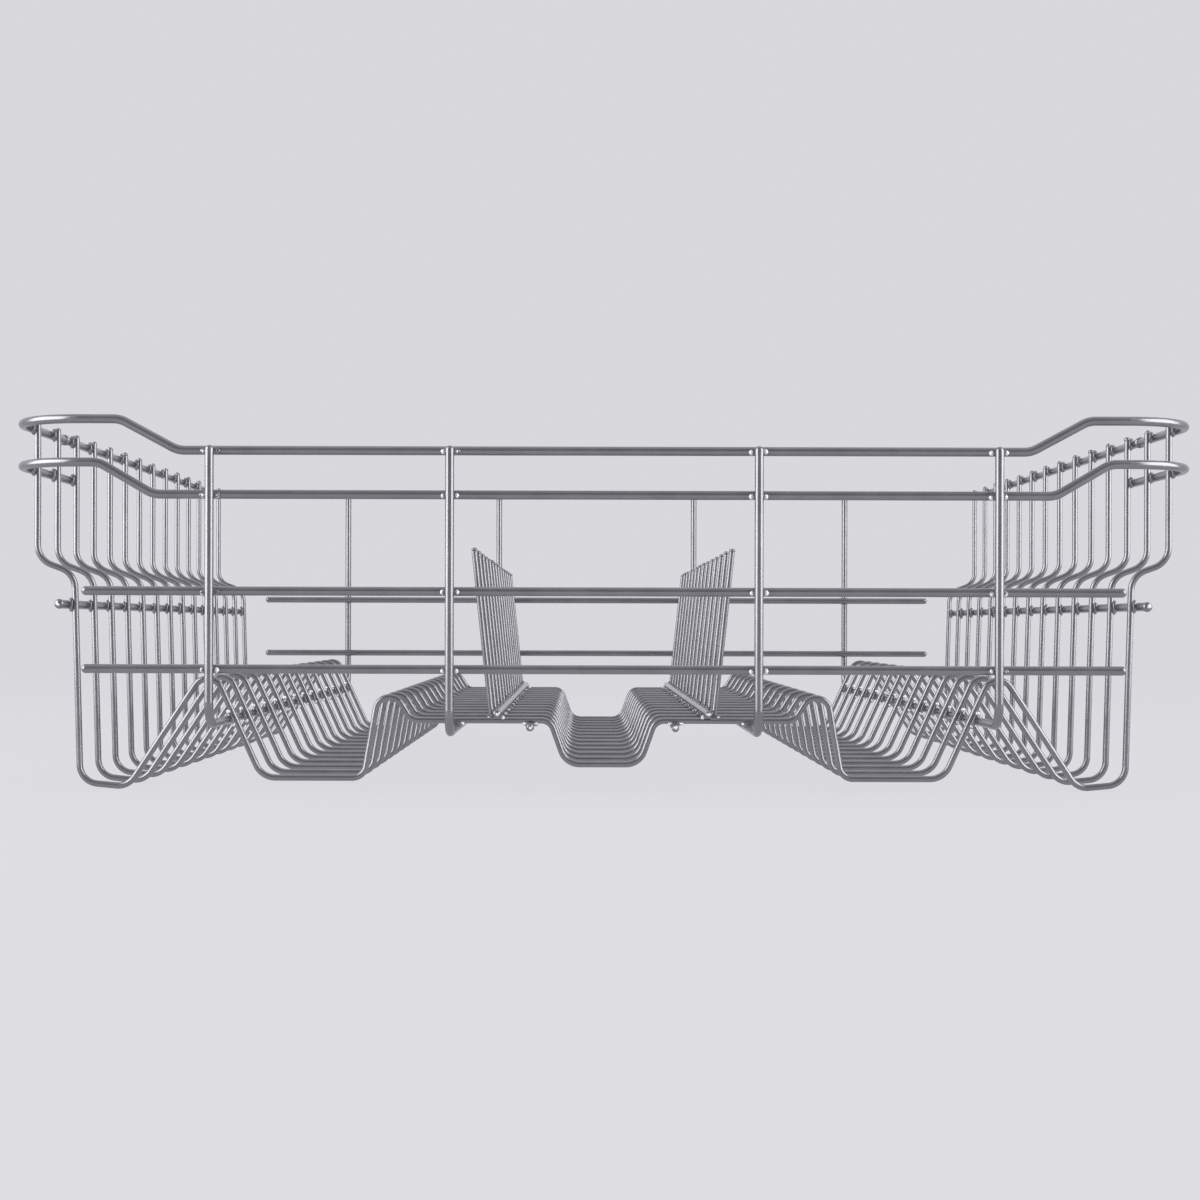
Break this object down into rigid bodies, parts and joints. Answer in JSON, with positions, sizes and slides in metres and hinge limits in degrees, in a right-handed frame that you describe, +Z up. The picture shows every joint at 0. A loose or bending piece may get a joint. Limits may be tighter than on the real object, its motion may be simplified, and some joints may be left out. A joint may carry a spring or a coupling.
{
  "type": "dishwasher basket",
  "caption": "Upper dishwasher rack of welded, grey coated round steel wire, with stepped side walls, valleys and ridges for cups, two leaning tine rows and a front bent low.",
  "frame": {"origin": "under the middle of the basket, at the height of its lowest wires", "axes": "+X to the right seen from the front, +Y from the front to the back, +Z up"},
  "size_m": [0.542, 0.508, 0.1723],
  "materials": {
    "coated_wire": "satin grey polymer dip coat on round steel wire"
  },
  "bodies": {
    "root": {"front_rim": "coated_wire", "rear_rim": "coated_wire", "front_guard_rail": "coated_wire", "front_mid_rail": "coated_wire", "front_low_rail": "coated_wire", "back_mid_rail": "coated_wire", "back_low_rail": "coated_wire", "left_side_rail": "coated_wire", "right_side_rail": "coated_wire", "outer_left_frame": "coated_wire", "inner_left_frame": "coated_wire", "inner_right_frame": "coated_wire", "outer_right_frame": "coated_wire", "left_under_wire": "coated_wire", "right_under_wire": "coated_wire", "left_tine_base": "coated_wire", "right_tine_base": "coated_wire", "cross_wire_01": "coated_wire", "cross_wire_02": "coated_wire", "cross_wire_03": "coated_wire", "cross_wire_04": "coated_wire", "cross_wire_05": "coated_wire", "cross_wire_06": "coated_wire", "cross_wire_07": "coated_wire", "cross_wire_08": "coated_wire", "cross_wire_09": "coated_wire", "cross_wire_10": "coated_wire", "cross_wire_11": "coated_wire", "cross_wire_12": "coated_wire", "cross_wire_13": "coated_wire", "cross_wire_14": "coated_wire", "left_tine_01": "coated_wire", "left_tine_02": "coated_wire", "left_tine_03": "coated_wire", "left_tine_04": "coated_wire", "left_tine_05": "coated_wire", "left_tine_06": "coated_wire", "left_tine_07": "coated_wire", "left_tine_08": "coated_wire", "left_tine_09": "coated_wire", "left_tine_10": "coated_wire", "left_tine_11": "coated_wire", "left_tine_12": "coated_wire", "left_tine_13": "coated_wire", "left_tine_14": "coated_wire", "right_tine_01": "coated_wire", "right_tine_02": "coated_wire", "right_tine_03": "coated_wire", "right_tine_04": "coated_wire", "right_tine_05": "coated_wire", "right_tine_06": "coated_wire", "right_tine_07": "coated_wire", "right_tine_08": "coated_wire", "right_tine_09": "coated_wire", "right_tine_10": "coated_wire", "right_tine_11": "coated_wire", "right_tine_12": "coated_wire", "right_tine_13": "coated_wire", "right_tine_14": "coated_wire"}
  },
  "joints": []
}
